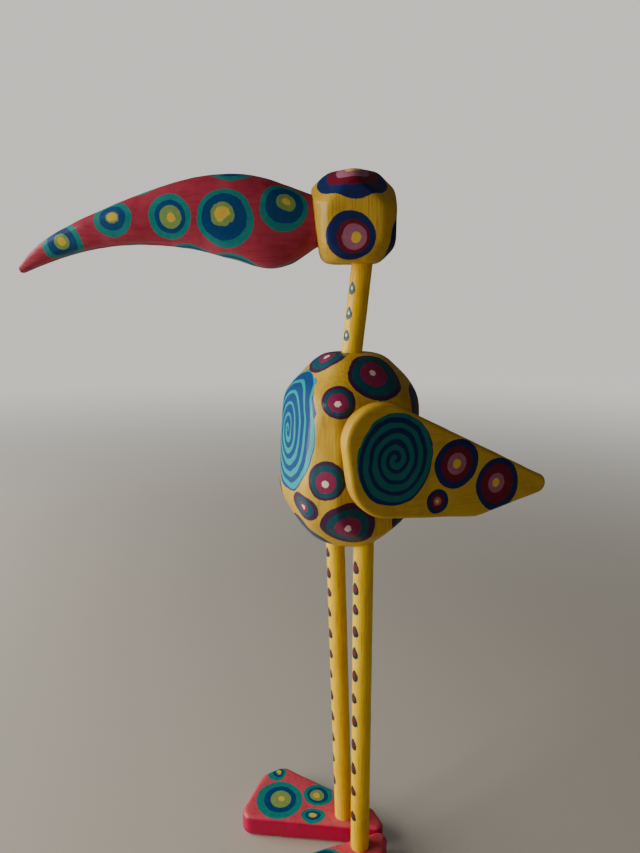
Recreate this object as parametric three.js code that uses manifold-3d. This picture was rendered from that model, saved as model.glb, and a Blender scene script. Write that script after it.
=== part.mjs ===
// A painted wooden bird on two long dowel legs, with a big curved beak
// Millimetres, +Z up; the bird faces -Y and its own left side is +X

import * as THREE from 'three';
import { mergeVertices } from 'three/addons/utils/BufferGeometryUtils.js';
import Module from 'manifold-3d';

const wasm = await Module();
wasm.setup();

// Driving sizes
const dowelDiameter = 12;
const dowelSeat = 9;
const fitGap = 0.3;

const bodyMiddleHeight = 281.5;
const bodyTall = 117.4;
const bodyForward = 2.4;
const bodyTopShare = 0.5;
const bodyUnderShare = 0.485;

const neckVisible = 46.7;
const neckLeanDegrees = 6.7;
const neckFootBack = 0.5;

const headTall = 51.7;
const headBottomShare = 0.495;
const headTurnDegrees = -20.5;
const headForwardOfNeck = 5.6;
const headRightOfNeck = 1.1;

const beakLength = 187.4;

const wingThickness = 10.2;
const wingLength = 127;
const wingEdge = 2.4;

const legTop = {
  left: { across: 20.8, back: 0 },
  right: { across: -20.8, back: -1.3 },
};
const legFoot = {
  left: { across: 15.2, back: 2.9 },
  right: { across: -12.5, back: 2.9 },
};

const footThickness = 15;
const footLength = 98.9;
const footFrontWidth = 51.4;
const footHeelWidth = 20.1;
const footEdge = 3.4;
const heelRound = 5.5;
const toeRound = 8;
const outerToeRound = 9;
const outerToeDrop = 14;
const footTurnDegrees = { left: 0, right: -26.8 };
const legInFoot = {
  left: { fromInnerEdge: 7.2, fromHeel: 20.1 },
  right: { fromInnerEdge: 10.2, fromHeel: 27.5 },
};

// Fineness of the faceted surfaces
const dowelSides = 32;
const arcSteps = 5;
const edgeSteps = 3;

// Cuts of the two whittled blocks: turn and tilt in degrees, distance from
// the block's middle as a share of its height
const fourCorners = [45, 135, 225, 315];
const bodyFlank = 0.328;
const bodyCuts = [
  { turns: [0], tilt: 5, share: 0.292 },
  { turns: [180], tilt: 0, share: 0.317 },
  { turns: [90, 270], tilt: 0, share: 0.336 },
  { turns: fourCorners, tilt: 0, share: 0.388 },
  { turns: [0], tilt: 90, share: 0.516 },
  { turns: [0], tilt: -90, share: 0.542 },
  { turns: [0], tilt: 40, share: 0.442 },
  { turns: [180], tilt: 42, share: 0.517 },
  { turns: [90, 270], tilt: 42, share: 0.488 },
  { turns: fourCorners, tilt: 42, share: 0.47 },
  { turns: [0], tilt: -45, share: 0.443 },
  { turns: [180], tilt: -45, share: 0.384 },
  { turns: [90, 270], tilt: -45, share: 0.508 },
  { turns: fourCorners, tilt: -45, share: 0.516 },
];
const bodySoftness = 10;
const headCuts = [
  { turns: [0], tilt: -8, share: 0.429 },
  { turns: [180], tilt: 0, share: 0.476 },
  { turns: [90, 270], tilt: 0, share: 0.445 },
  { turns: [45, 315], tilt: 0, share: 0.522 },
  { turns: [135, 225], tilt: 0, share: 0.544 },
  { turns: [0], tilt: 90, share: 0.505 },
  { turns: [0], tilt: -90, share: 0.495 },
  { turns: [0], tilt: 45, share: 0.642 },
  { turns: [180], tilt: 45, share: 0.598 },
  { turns: [90, 270], tilt: 45, share: 0.602 },
  { turns: fourCorners, tilt: 40, share: 0.489 },
  { turns: [0, 90, 270], tilt: -45, share: 0.576 },
  { turns: [180], tilt: -45, share: 0.56 },
  { turns: fourCorners, tilt: -40, share: 0.623 },
];
const headSoftness = 12;

// Ribs of the beak, in hundredths of its length from the head's middle:
// top and bottom points as [forward, height], and the width
const beakRibs = [
  { top: [7.4, 5.3], bottom: [5.8, -6.4], width: 12.7 },
  { top: [12.7, 6.9], bottom: [10.9, -8.3], width: 14.3 },
  { top: [19.6, 9.3], bottom: [18.5, -12.9], width: 17.5 },
  { top: [27, 11.6], bottom: [26, -14.3], width: 19.6 },
  { top: [37.1, 12.5], bottom: [36.5, -11.5], width: 19.3 },
  { top: [48.7, 10.9], bottom: [48.7, -8.6], width: 17.5 },
  { top: [62.5, 6.6], bottom: [62, -7.3], width: 14.8 },
  { top: [76.3, 1.4], bottom: [75.2, -8.2], width: 11.7 },
  { top: [87.9, -4], bottom: [86.3, -10.7], width: 8.7 },
  { top: [95.3, -8.9], bottom: [93.8, -13.4], width: 6.6 },
  { top: [100, -13.8], bottom: [99.3, -15.6], width: 4.2 },
];
const beakRoundness = { top: 2.7, bottom: 3.6 };

// Rounds that the wing board's outline is stretched around, in hundredths of
// its length, as [back, up] from the body's middle, and the radius
const wingRounds = [
  { at: [79.8, -14.9], radius: 4.6 },
  { at: [0.3, 10.5], radius: 16.7 },
  { at: [5.4, -3.3], radius: 19.6 },
  { at: [46.9, -15.8], radius: 11.1 },
];

const up = new THREE.Vector3(0, 0, 1);

function paint(name, colour) {
  return new THREE.MeshStandardMaterial({ name, color: colour, roughness: 0.35, metalness: 0 });
}

const yellowPaint = paint('yellow_paint', 0xd0a832);
const beakPaint = paint('raspberry_paint', 0x8e2440);
const footPaint = paint('pink_paint', 0xd8486a);

function directionOf(turnDegrees, tiltDegrees) {
  const turn = THREE.MathUtils.degToRad(turnDegrees);
  const tilt = THREE.MathUtils.degToRad(tiltDegrees);
  const level = Math.cos(tilt);
  return new THREE.Vector3(Math.sin(turn) * level, -Math.cos(turn) * level, Math.sin(tilt));
}

// Moves every vertex of a standard geometry and merges the shared ones
function reshaped(geometry, move) {
  const places = geometry.attributes.position;
  const point = new THREE.Vector3();
  for (let i = 0; i < places.count; i += 1) {
    point.fromBufferAttribute(places, i);
    move(point);
    places.setXYZ(i, point.x, point.y, point.z);
  }
  return merged(geometry);
}

function merged(geometry) {
  geometry.deleteAttribute('normal');
  geometry.deleteAttribute('uv');
  const welded = mergeVertices(geometry, 1e-4);
  welded.computeVertexNormals();
  return welded;
}

// A block whittled by flat cuts whose edges are rubbed soft; flank is the
// distance of a true flat seat left and right, and grow a clearance all round
function whittledBlock({ cuts, tall, softness, flank = Infinity, grow = 0, columns, rows }) {
  const planes = cuts.flatMap(({ turns, tilt, share }) =>
    turns.map((turn) => ({ normal: directionOf(turn, tilt), distance: share * tall + grow })));
  const ball = new THREE.SphereGeometry(1, columns, rows).rotateX(Math.PI / 2);
  return reshaped(ball, (point) => {
    const direction = point.clone().normalize();
    let sum = 0;
    for (const plane of planes) {
      sum += (Math.max(0, plane.normal.dot(direction)) / plane.distance) ** softness;
    }
    const soft = sum ** (-1 / softness);
    const flat = flank / Math.max(1e-6, Math.abs(direction.x));
    point.copy(direction).multiplyScalar(Math.min(soft, flat));
  });
}

// The smooth path of one entry of the ribs, from root to tip
function ribPath(points) {
  const flat = points.map(([forward, height]) => new THREE.Vector3(forward, height, 0));
  return new THREE.CatmullRomCurve3(flat, false, 'catmullrom', 0.5);
}

function superellipse(value, roundness) {
  return Math.sign(value) * Math.abs(value) ** (2 / roundness);
}

function beakGeometry() {
  const topPath = ribPath(beakRibs.map((rib) => rib.top));
  const bottomPath = ribPath(beakRibs.map((rib) => rib.bottom));
  const widthPath = ribPath(beakRibs.map((rib, i) => [i, rib.width]));
  const unit = beakLength / 100;
  const rod = new THREE.CylinderGeometry(1, 1, 1, 28, 30);
  return reshaped(rod, (point) => {
    const share = 0.5 - point.y;
    const top = topPath.getPoint(share);
    const bottom = bottomPath.getPoint(share);
    const width = widthPath.getPoint(share).y;
    const roundness = point.z > 0 ? beakRoundness.top : beakRoundness.bottom;
    const side = superellipse(point.x, roundness) * width / 2;
    const rise = (superellipse(point.z, roundness) + 1) / 2;
    const along = THREE.MathUtils.lerp(bottom.x, top.x, rise);
    const height = THREE.MathUtils.lerp(bottom.y, top.y, rise);
    point.set(side, -along, height).multiplyScalar(unit);
  });
}

// The outline of a string stretched around rounds that are listed
// counter-clockwise
function stretchedOutline(rounds) {
  const shape = new THREE.Shape();
  const leaving = rounds.map((round, i) => {
    const next = rounds[(i + 1) % rounds.length];
    const run = Math.hypot(next.at[0] - round.at[0], next.at[1] - round.at[1]);
    const heading = Math.atan2(next.at[1] - round.at[1], next.at[0] - round.at[0]);
    return heading - Math.acos((round.radius - next.radius) / run);
  });
  rounds.forEach((round, i) => {
    const arriving = leaving[(i + rounds.length - 1) % rounds.length];
    shape.absarc(round.at[0], round.at[1], round.radius, arriving, leaving[i], false);
  });
  return shape;
}

// A board cut to an outline, its edges rounded over, lying on z = 0
function board(outline, thickness, edge) {
  const geometry = new THREE.ExtrudeGeometry(outline, {
    depth: thickness - 2 * edge,
    bevelThickness: edge,
    bevelSize: edge,
    bevelOffset: -edge,
    bevelSegments: edgeSteps,
    curveSegments: arcSteps,
  });
  geometry.translate(0, 0, edge);
  return merged(geometry);
}

function dowel(name, from, to, material, grow = 0) {
  const axis = to.clone().sub(from);
  const length = axis.length() + 2 * grow;
  const radius = dowelDiameter / 2 + grow;
  const rod = merged(new THREE.CylinderGeometry(radius, radius, length, dowelSides));
  const mesh = new THREE.Mesh(rod, material);
  mesh.name = name;
  mesh.position.copy(from).add(to).divideScalar(2);
  mesh.quaternion.setFromUnitVectors(new THREE.Vector3(0, 1, 0), axis.normalize());
  return mesh;
}

function toSolid(mesh) {
  mesh.updateWorldMatrix(true, false);
  const geometry = mesh.geometry.clone().applyMatrix4(mesh.matrixWorld);
  return new wasm.Manifold(new wasm.Mesh({
    numProp: 3,
    vertProperties: Float32Array.from(geometry.attributes.position.array),
    triVerts: Uint32Array.from(geometry.index.array),
  }));
}

// Cuts the tools' shapes out of a mesh, both standing in the bird's frame
function cutAway(mesh, tools) {
  let solid = toSolid(mesh);
  for (const tool of tools) {
    solid = solid.subtract(toSolid(tool));
  }
  const { numProp, vertProperties, triVerts } = solid.getMesh();
  const places = new Float32Array((vertProperties.length / numProp) * 3);
  for (let i = 0; i < places.length / 3; i += 1) {
    places.set(vertProperties.subarray(i * numProp, i * numProp + 3), i * 3);
  }
  const geometry = new THREE.BufferGeometry();
  geometry.setAttribute('position', new THREE.BufferAttribute(places, 3));
  geometry.setIndex(new THREE.BufferAttribute(Uint32Array.from(triVerts), 1));
  geometry.applyMatrix4(mesh.matrixWorld.clone().invert());
  geometry.computeVertexNormals();
  mesh.geometry = geometry;
}

function named(name, geometry, material) {
  const mesh = new THREE.Mesh(geometry, material);
  mesh.name = name;
  return mesh;
}

// Body
const bodyMiddle = new THREE.Vector3(0, -bodyForward, bodyMiddleHeight);
const body = named('body', whittledBlock({
  cuts: bodyCuts,
  tall: bodyTall,
  softness: bodySoftness,
  flank: bodyFlank * bodyTall,
  columns: 44,
  rows: 26,
}), yellowPaint);
body.position.copy(bodyMiddle);
const bodyTop = bodyMiddleHeight + bodyTopShare * bodyTall;
const bodyUnder = bodyMiddleHeight - bodyUnderShare * bodyTall;

// Neck, leaning back as it rises
const neckLean = Math.tan(THREE.MathUtils.degToRad(neckLeanDegrees));
function onNeck(rise) {
  return new THREE.Vector3(0, neckFootBack + rise * neckLean, bodyTop + rise);
}
const neckEnds = [onNeck(-dowelSeat), onNeck(neckVisible + dowelSeat)];
const neck = dowel('neck', ...neckEnds, yellowPaint);

// Head, turned to the bird's right
const headBottom = onNeck(neckVisible);
const headMiddle = headBottom.clone();
headMiddle.add(new THREE.Vector3(
  -headRightOfNeck,
  -headForwardOfNeck,
  headBottomShare * headTall,
));
const headTurn = THREE.MathUtils.degToRad(headTurnDegrees);
function headBlock(name, grow) {
  const block = named(name, whittledBlock({
    cuts: headCuts,
    tall: headTall,
    softness: headSoftness,
    grow,
    columns: 40,
    rows: 24,
  }), yellowPaint);
  block.position.copy(headMiddle);
  block.rotation.z = headTurn;
  return block;
}
const head = headBlock('head', 0);

// Beak, its root shaped to the head's front
const beak = named('beak', beakGeometry(), beakPaint);
beak.position.copy(headMiddle);
beak.rotation.z = headTurn;
cutAway(beak, [headBlock('head_clearance', fitGap)]);

// Wings: two boards on the body's flat flanks
const wingOutline = stretchedOutline(wingRounds.map(({ at, radius }) => ({
  at: at.map((share) => share * wingLength / 100),
  radius: radius * wingLength / 100,
})));
const wingBoard = board(wingOutline, wingThickness, wingEdge);
wingBoard.applyMatrix4(new THREE.Matrix4().makeBasis(
  new THREE.Vector3(0, 1, 0),
  up,
  new THREE.Vector3(1, 0, 0),
));
const wingInnerFace = bodyFlank * bodyTall + fitGap;
function wing(name, insideX) {
  const mesh = named(name, wingBoard.clone(), yellowPaint);
  mesh.position.set(insideX, bodyMiddle.y, bodyMiddle.z);
  return mesh;
}
const wingLeft = wing('wing_left', wingInnerFace);
const wingRight = wing('wing_right', -wingInnerFace - wingThickness);

// Legs and feet
function legEnds(side) {
  const { across, back } = legFoot[side];
  const top = new THREE.Vector3(legTop[side].across, legTop[side].back, bodyUnder);
  const bottom = new THREE.Vector3(across, back, footThickness);
  const way = top.clone().sub(bottom).normalize();
  return [bottom.addScaledVector(way, -dowelSeat), top.addScaledVector(way, dowelSeat)];
}

function foot(side) {
  const outward = Math.sign(legFoot[side].across);
  const rounds = [
    { at: [heelRound, heelRound], radius: heelRound },
    { at: [footHeelWidth - heelRound, 2 * heelRound], radius: heelRound },
    {
      at: [footFrontWidth - outerToeRound, footLength - outerToeDrop - outerToeRound],
      radius: outerToeRound,
    },
    {
      at: [footFrontWidth - outerToeDrop, footLength - outerToeDrop / 2 - toeRound],
      radius: toeRound,
    },
    { at: [toeRound, footLength - toeRound], radius: toeRound },
  ];
  const { fromInnerEdge, fromHeel } = legInFoot[side];
  const placed = rounds.map(({ at, radius }) => ({
    at: [outward * (at[0] - fromInnerEdge), fromHeel - at[1]],
    radius,
  }));
  if (outward > 0) {
    placed.reverse();
  }
  const block = board(stretchedOutline(placed), footThickness, footEdge);
  const mesh = named(`foot_${side}`, block, footPaint);
  mesh.position.set(legFoot[side].across, legFoot[side].back, 0);
  mesh.rotation.z = THREE.MathUtils.degToRad(footTurnDegrees[side]);
  return mesh;
}

const sides = ['left', 'right'];
const legs = sides.map((side) => dowel(`leg_${side}`, ...legEnds(side), yellowPaint));
const feet = sides.map((side) => foot(side));

// Sockets for the dowels
const neckHole = dowel('neck_hole', ...neckEnds, yellowPaint, fitGap);
const legHoles = sides.map((side) => dowel('leg_hole', ...legEnds(side), yellowPaint, fitGap));
cutAway(body, [neckHole, ...legHoles]);
cutAway(head, [neckHole]);
feet.forEach((block, i) => cutAway(block, [legHoles[i]]));

// The whole bird, its origin under the middle of its box, on the ground
const bird = new THREE.Group();
bird.add(body, neck, head, beak, wingLeft, wingRight, ...legs, ...feet);
bird.updateMatrixWorld(true);
const box = new THREE.Box3().setFromObject(bird, true);
const middle = box.getCenter(new THREE.Vector3());
bird.position.set(-middle.x, -middle.y, -box.min.z);

export default bird;
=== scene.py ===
import math
from functools import partial

import bmesh
import bpy
import numpy as np
from mathutils import Matrix, Vector, noise


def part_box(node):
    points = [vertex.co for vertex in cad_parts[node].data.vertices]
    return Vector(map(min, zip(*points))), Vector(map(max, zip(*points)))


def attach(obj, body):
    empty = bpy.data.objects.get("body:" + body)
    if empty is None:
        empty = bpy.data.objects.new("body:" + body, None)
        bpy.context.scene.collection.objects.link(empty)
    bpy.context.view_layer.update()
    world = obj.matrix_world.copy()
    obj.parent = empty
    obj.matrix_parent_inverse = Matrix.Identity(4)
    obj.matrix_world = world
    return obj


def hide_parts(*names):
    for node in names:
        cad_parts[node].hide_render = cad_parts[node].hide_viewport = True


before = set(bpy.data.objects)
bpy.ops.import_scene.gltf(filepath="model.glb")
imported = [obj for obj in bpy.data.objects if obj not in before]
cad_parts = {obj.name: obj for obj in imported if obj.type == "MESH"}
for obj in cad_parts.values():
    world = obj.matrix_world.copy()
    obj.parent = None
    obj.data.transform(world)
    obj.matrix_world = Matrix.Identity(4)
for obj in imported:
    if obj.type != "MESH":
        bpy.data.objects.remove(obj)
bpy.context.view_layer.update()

mm = 0.001

# The bird's own upright axis: halfway between the wings, and a known way in
# front of the wing tips
axis = {"tipBehindAxis": 104.79 * mm}
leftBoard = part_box("wing_left")
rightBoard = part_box("wing_right")
axisX = (leftBoard[1].x + rightBoard[0].x) / 2
axisY = leftBoard[1].y - axis["tipBehindAxis"]
birdFrame = Matrix.Translation((axisX, axisY, 0)) @ Matrix.Scale(mm, 4)


# Node trees

def addNode(tree, kind, inputs=None, **settings):
    made = tree.nodes.new(kind)
    for label, value in settings.items():
        setattr(made, label, value)
    for place, value in (inputs or {}).items():
        plug(tree, made.inputs[place], value)
    return made


def plug(tree, socket, value):
    if isinstance(value, bpy.types.NodeSocket):
        tree.links.new(value, socket)
    else:
        socket.default_value = value


def calc(tree, operation, *terms):
    made = addNode(tree, "ShaderNodeMath", operation=operation)
    for place, term in enumerate(terms):
        plug(tree, made.inputs[place], term)
    return made.outputs[0]


def sumsOf(tree):
    # Short names for the four plain sums in one tree
    return (partial(calc, tree, kind) for kind in ("ADD", "SUBTRACT", "MULTIPLY", "DIVIDE"))


def vectorCalc(tree, operation, *terms):
    made = addNode(tree, "ShaderNodeVectorMath", operation=operation)
    for place, term in enumerate(terms):
        plug(tree, made.inputs[place], term)
    if operation in ("DOT_PRODUCT", "LENGTH", "DISTANCE"):
        return made.outputs["Value"]
    return made.outputs["Vector"]


def blend(tree, factor, first, second, mode="MIX"):
    made = addNode(tree, "ShaderNodeMix", data_type="RGBA", blend_type=mode)
    plug(tree, made.inputs[0], factor)
    plug(tree, made.inputs[6], first)
    plug(tree, made.inputs[7], second)
    return made.outputs[2]


def between(tree, value, low, high, outLow=0.0, outHigh=1.0):
    made = addNode(tree, "ShaderNodeMapRange", interpolation_type="SMOOTHSTEP")
    for place, term in enumerate((value, low, high, outLow, outHigh)):
        plug(tree, made.inputs[place], term)
    return made.outputs[0]


def noiseAt(tree, where, scale, detail=2.0, rough=0.5):
    inputs = {"Vector": where, "Scale": scale, "Detail": detail, "Roughness": rough}
    return addNode(tree, "ShaderNodeTexNoise", inputs)


# Paint

def shade(red, green, blue):
    # 0-255 as seen by eye, to the linear values that shaders want
    def linear(value):
        part = value / 255
        return part / 12.92 if part <= 0.04045 else ((part + 0.055) / 1.055) ** 2.4
    return (linear(red), linear(green), linear(blue), 1.0)


colours = {
    "yellow": shade(211, 172, 50),
    "yellowDark": shade(172, 127, 16),
    "yellowLight": shade(224, 190, 66),
    # A lighter copy of the yellow for the legs and neck: painted light, standing in for the stronger
    # light on them
    "litYellow": shade(252, 206, 14),
    "litYellowDark": shade(216, 160, 14),
    "litYellowLight": shade(254, 220, 48),
    "raspberry": shade(176, 54, 78),
    "raspberryDark": shade(136, 24, 50),
    "raspberryLight": shade(196, 82, 100),
    "pink": shade(212, 78, 98),
    "pinkDark": shade(180, 38, 64),
    "pinkLight": shade(224, 106, 118),
    # The feet's upright faces: a deeper pink, partly the paint and partly painted shade
    "pinkSideShaded": shade(192, 17, 76),
    "purple": shade(64, 28, 68),
    "teal": shade(6, 76, 92),
    "crimson": shade(136, 32, 78),
    "white": shade(232, 220, 208),
    "dotYellow": shade(228, 188, 66),
    "green": shade(124, 158, 88),
    "beakNavy": shade(0, 66, 124),
    "beakTeal": shade(10, 130, 130),
    "navy": shade(10, 32, 92),
    "darkRed": shade(104, 7, 38),
    "lilac": shade(158, 94, 122),
    "chestBlue": shade(0, 68, 132),
    "turquoise": shade(6, 160, 168),
    "wingNavy": shade(0, 40, 96),
    "wingTeal": shade(0, 112, 114),
    "dropRed": shade(110, 10, 34),
    "dropTeal": shade(0, 44, 58),
    "neckTeal": shade(0, 72, 76),
}

# Ring colours from the dot outwards
palettes = {
    "body": ("white", "crimson", "teal", "purple"),
    "beak": ("dotYellow", "green", "beakNavy", "beakTeal"),
    "head": ("dotYellow", "lilac", "darkRed", "navy"),
}


# What the brush and the varnish leave: tints are shares of a colour, rises are
# shares of a finish's relief, and a "seen" pair says where a mark fades in
brush = {
    "ringBlur": 0.006,
    "rimBlur": 0.007,
    "lineBlur": 0.03,
    "flickStart": 0.1,
    "grainSeen": (0.48, 0.66),
    "lightSeen": (0.52, 0.75),
    "lightTint": 0.45,
    "darkSeen": (0.46, 0.3),
    "darkTint": 0.35,
    "strokesSeen": (0.35, 0.7),
    "strokeTint": 0.3,
    "strokeShade": (0.9, 0.9, 0.9, 1),
    "uprightSeen": (0.35, 0.75),
    "groundRise": 0.3,
    "lineRise": 0.5,
    "ringRise": 0.8,
    "ringRiseSeen": (1.0, 0.1),
    "sheenSeen": (0.3, 0.7),
    "sheenSpread": (-0.05, 0.07),
}


def ringColour(tree, ring, palette):
    ramp = addNode(tree, "ShaderNodeValToRGB", {"Fac": ring})
    stops = ramp.color_ramp.elements
    blur = brush["ringBlur"]
    stops[0].position = 0.0
    stops[0].color = colours[palette[0]]
    stops[1].position = 1.0
    stops[1].color = colours[palette[3]]
    for step in (1, 2, 3):
        before = stops.new(step * 0.25 - blur)
        before.color = colours[palette[step - 1]]
        after = stops.new(step * 0.25 + blur)
        after.color = colours[palette[step]]
    return ramp.outputs["Color"]


def spiralPaint(tree, coords, spiral):
    # A two-coloured spiral on an oval ground: its colour, where it lies, its line
    plus, less, times, over = sumsOf(tree)
    mapped = addNode(tree, "ShaderNodeMapping", {
        "Vector": coords,
        "Location": spiral["centre"],
        "Scale": spiral["reach"],
    }, vector_type="TEXTURE").outputs[0]
    drift = noiseAt(tree, coords, spiral["wobbleScale"], detail=1.0)
    centred = vectorCalc(tree, "SUBTRACT", drift.outputs["Color"], (0.5, 0.5, 0.5))
    amount = addNode(tree, "ShaderNodeVectorMath", {0: centred, "Scale": spiral["wobble"]},
                     operation="SCALE").outputs[0]
    parts = addNode(tree, "ShaderNodeSeparateXYZ", {0: vectorCalc(tree, "ADD", mapped, amount)})
    across, upward = (parts.outputs[letter] for letter in spiral["plane"])

    def lengthOf(first, second):
        return calc(tree, "SQRT", plus(times(first, first), times(second, second)))

    # The eye of the spiral sits off the middle of its ground
    outer = lengthOf(across, upward)
    hold = calc(tree, "MAXIMUM", less(1.0, outer), 0.0)
    eyeAcross, eyeUp = spiral["eye"]
    across = less(across, times(hold, eyeAcross))
    upward = less(upward, times(hold, eyeUp))
    reach = lengthOf(across, upward)
    angle = calc(tree, "ARCTAN2", upward, across)
    turns = less(times(reach, spiral["turns"]), over(angle, 2 * math.pi))
    # Ten more turns keep the sum above zero, and half a turn centres the line
    phase = calc(tree, "FRACT", plus(turns, 10.5 - spiral["start"]))
    away = calc(tree, "ABSOLUTE", less(phase, 0.5))
    swell = times(spiral["vary"], calc(tree, "COSINE", less(angle, spiral["thickAt"])))
    half = plus(spiral["line"], swell)
    blur = brush["lineBlur"]
    line = between(tree, away, less(half, blur), plus(half, blur), 1.0, 0.0)
    colour = blend(tree, line, colours[spiral["ground"]], colours[spiral["stroke"]])

    # Flicks of the brush past the rim: each is where it stops, and how far out
    rim = 1.0
    for stop, past in spiral["flicks"]:
        beyond = less(angle, stop)
        fading = calc(tree, "MAXIMUM", less(1.0, over(beyond, spiral["flickTurn"])), 0.0)
        begun = between(tree, beyond, 0.0, brush["flickStart"])
        rim = plus(rim, times(past, times(fading, begun)))
    inside = calc(tree, "LESS_THAN", outer, rim)
    # Only the side of the piece that carries the spiral is painted
    letter, limit, sign = spiral["side"]
    sidePart = addNode(tree, "ShaderNodeSeparateXYZ", {0: coords}).outputs[letter]
    facing = calc(tree, "GREATER_THAN", times(less(sidePart, limit), sign), 0.0)
    return colour, times(inside, facing), line


def paintedWood(name, finish):
    # Brushed paint over wood under a satin varnish, with its rings and spiral
    material = bpy.data.materials.new(name)
    material.use_nodes = True
    tree = material.node_tree
    tree.nodes.clear()
    plus, less, times, _ = sumsOf(tree)
    coords = addNode(tree, "ShaderNodeTexCoord").outputs["Object"]
    grainAt = addNode(tree, "ShaderNodeMapping", {
        "Vector": coords,
        "Rotation": finish.get("grainTurn", (0, 0, 0)),
        "Scale": finish["grain"],
    }).outputs[0]
    grain = noiseAt(tree, grainAt, 1.0, detail=3.0, rough=0.6).outputs["Fac"]
    patches = noiseAt(tree, coords, finish["patchScale"], detail=3.0, rough=0.55).outputs["Fac"]
    base, dark, light = (colours[finish["base"] + tone] for tone in ("", "Dark", "Light"))
    if "side" in finish:
        # Upright faces are a deeper pink than the top: partly the paint, partly painted shade
        normal = addNode(tree, "ShaderNodeNewGeometry").outputs["Normal"]
        level = addNode(tree, "ShaderNodeSeparateXYZ", {0: normal}).outputs["Z"]
        upright = between(tree, level, *brush["uprightSeen"], 1.0, 0.0)
        base = blend(tree, upright, base, colours[finish["side"]])
        light = blend(tree, upright, light, colours[finish["side"]])
    grained = between(tree, grain, *brush["grainSeen"], 0.0, finish["grainTint"])
    thin = between(tree, patches, *brush["lightSeen"], 0.0, brush["lightTint"])
    thick = between(tree, patches, *brush["darkSeen"], 0.0, brush["darkTint"])
    colour = blend(tree, grained, base, dark)
    colour = blend(tree, thin, colour, light)
    colour = blend(tree, thick, colour, dark)
    # Brush marks, and the fine pebbling that varnish dries with
    peel = noiseAt(tree, coords, finish["peelScale"], detail=1.0).outputs["Fac"]
    height = plus(times(grain, finish["grainRelief"]), times(peel, finish["peelRelief"]))
    if "spiral" in finish:
        drawn, where, line = spiralPaint(tree, coords, finish["spiral"])
        colour = blend(tree, where, colour, drawn)
        layers = plus(brush["groundRise"], times(line, brush["lineRise"]))
        height = plus(height, times(where, layers))
    if "rings" in finish:
        ring = addNode(tree, "ShaderNodeAttribute", attribute_name="ring").outputs["Fac"]
        fray = noiseAt(tree, coords, finish["frayScale"]).outputs["Fac"]
        ring = plus(ring, times(less(fray, 0.5), finish["fray"]))
        drawn = ringColour(tree, ring, palettes[finish["rings"]])
        where = between(tree, ring, 1 - brush["rimBlur"], 1 + brush["rimBlur"], 1.0, 0.0)
        strokes = noiseAt(tree, coords, finish["strokeScale"], detail=3.0, rough=0.6).outputs["Fac"]
        streaks = between(tree, strokes, *brush["strokesSeen"], 0.0, brush["strokeTint"])
        drawn = blend(tree, streaks, drawn, brush["strokeShade"], "SOFT_LIGHT")
        colour = blend(tree, where, colour, drawn)
        layers = between(tree, ring, *brush["ringRiseSeen"])
        height = plus(height, times(layers, brush["ringRise"]))
    bump = addNode(tree, "ShaderNodeBump", {"Height": height, "Strength": 1.0,
                                            "Distance": finish["relief"]})
    smoother, rougher = (finish["roughness"] + spread for spread in brush["sheenSpread"])
    sheen = between(tree, patches, *brush["sheenSeen"], smoother, rougher)
    surface = addNode(tree, "ShaderNodeBsdfPrincipled", {
        "Base Color": colour,
        "Roughness": sheen,
        "Specular IOR Level": finish["specular"],
        "Coat Weight": finish["coat"],
        "Coat Roughness": finish["coatRoughness"],
        "Normal": bump.outputs["Normal"],
    })
    out = addNode(tree, "ShaderNodeOutputMaterial", {"Surface": surface.outputs[0]})
    out.is_active_output = True
    return material


# Meshes

def pieceFrom(name, mesh, material, node):
    mesh.materials.clear()
    mesh.materials.append(material)
    mesh.shade_smooth()
    piece = bpy.data.objects.new(name, mesh)
    bpy.context.scene.collection.objects.link(piece)
    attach(piece, "root")
    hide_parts(node)


def meshOf(name, points, faces):
    mesh = bpy.data.meshes.new(name)
    mesh.from_pydata([tuple(p) for p in points], [], faces)
    work = bmesh.new()
    work.from_mesh(mesh)
    bmesh.ops.recalc_face_normals(work, faces=work.faces)
    work.to_mesh(mesh)
    work.free()
    mesh.update()
    return mesh


def placesOf(mesh, kind="co"):
    values = np.empty(len(mesh.vertices) * 3)
    mesh.vertices.foreach_get(kind, values)
    return values.reshape(-1, 3)


def unevenSurface(mesh, swells):
    # Knife and sandpaper leave low swells: each is its length and height in mm,
    # and an offset that keeps it apart from the others
    places = placesOf(mesh)
    normals = placesOf(mesh, "normal")
    lift = np.zeros(len(places))
    for length, tall, offset in swells:
        shift = Vector((offset, offset * 1.7, -offset))
        lift += [tall * noise.noise(Vector(p) / length + shift) for p in places]
    mesh.vertices.foreach_set("co", (places + normals * lift[:, None]).ravel())
    mesh.update()


def placeMesh(mesh, matrix):
    mesh.transform(matrix)
    mesh.update()


# A spot's hand-drawn edge: how many waves go round it, their depth and how much
# that varies, their twist inwards, and how far a spot wraps round a corner
handDrawn = {
    "waves": (2, 3, 4, 5, 7),
    "depth": 0.034,
    "varies": (0.4, 1.3),
    "twist": 3,
    "wraps": -0.25,
    "unpainted": 9.0,
}


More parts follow.
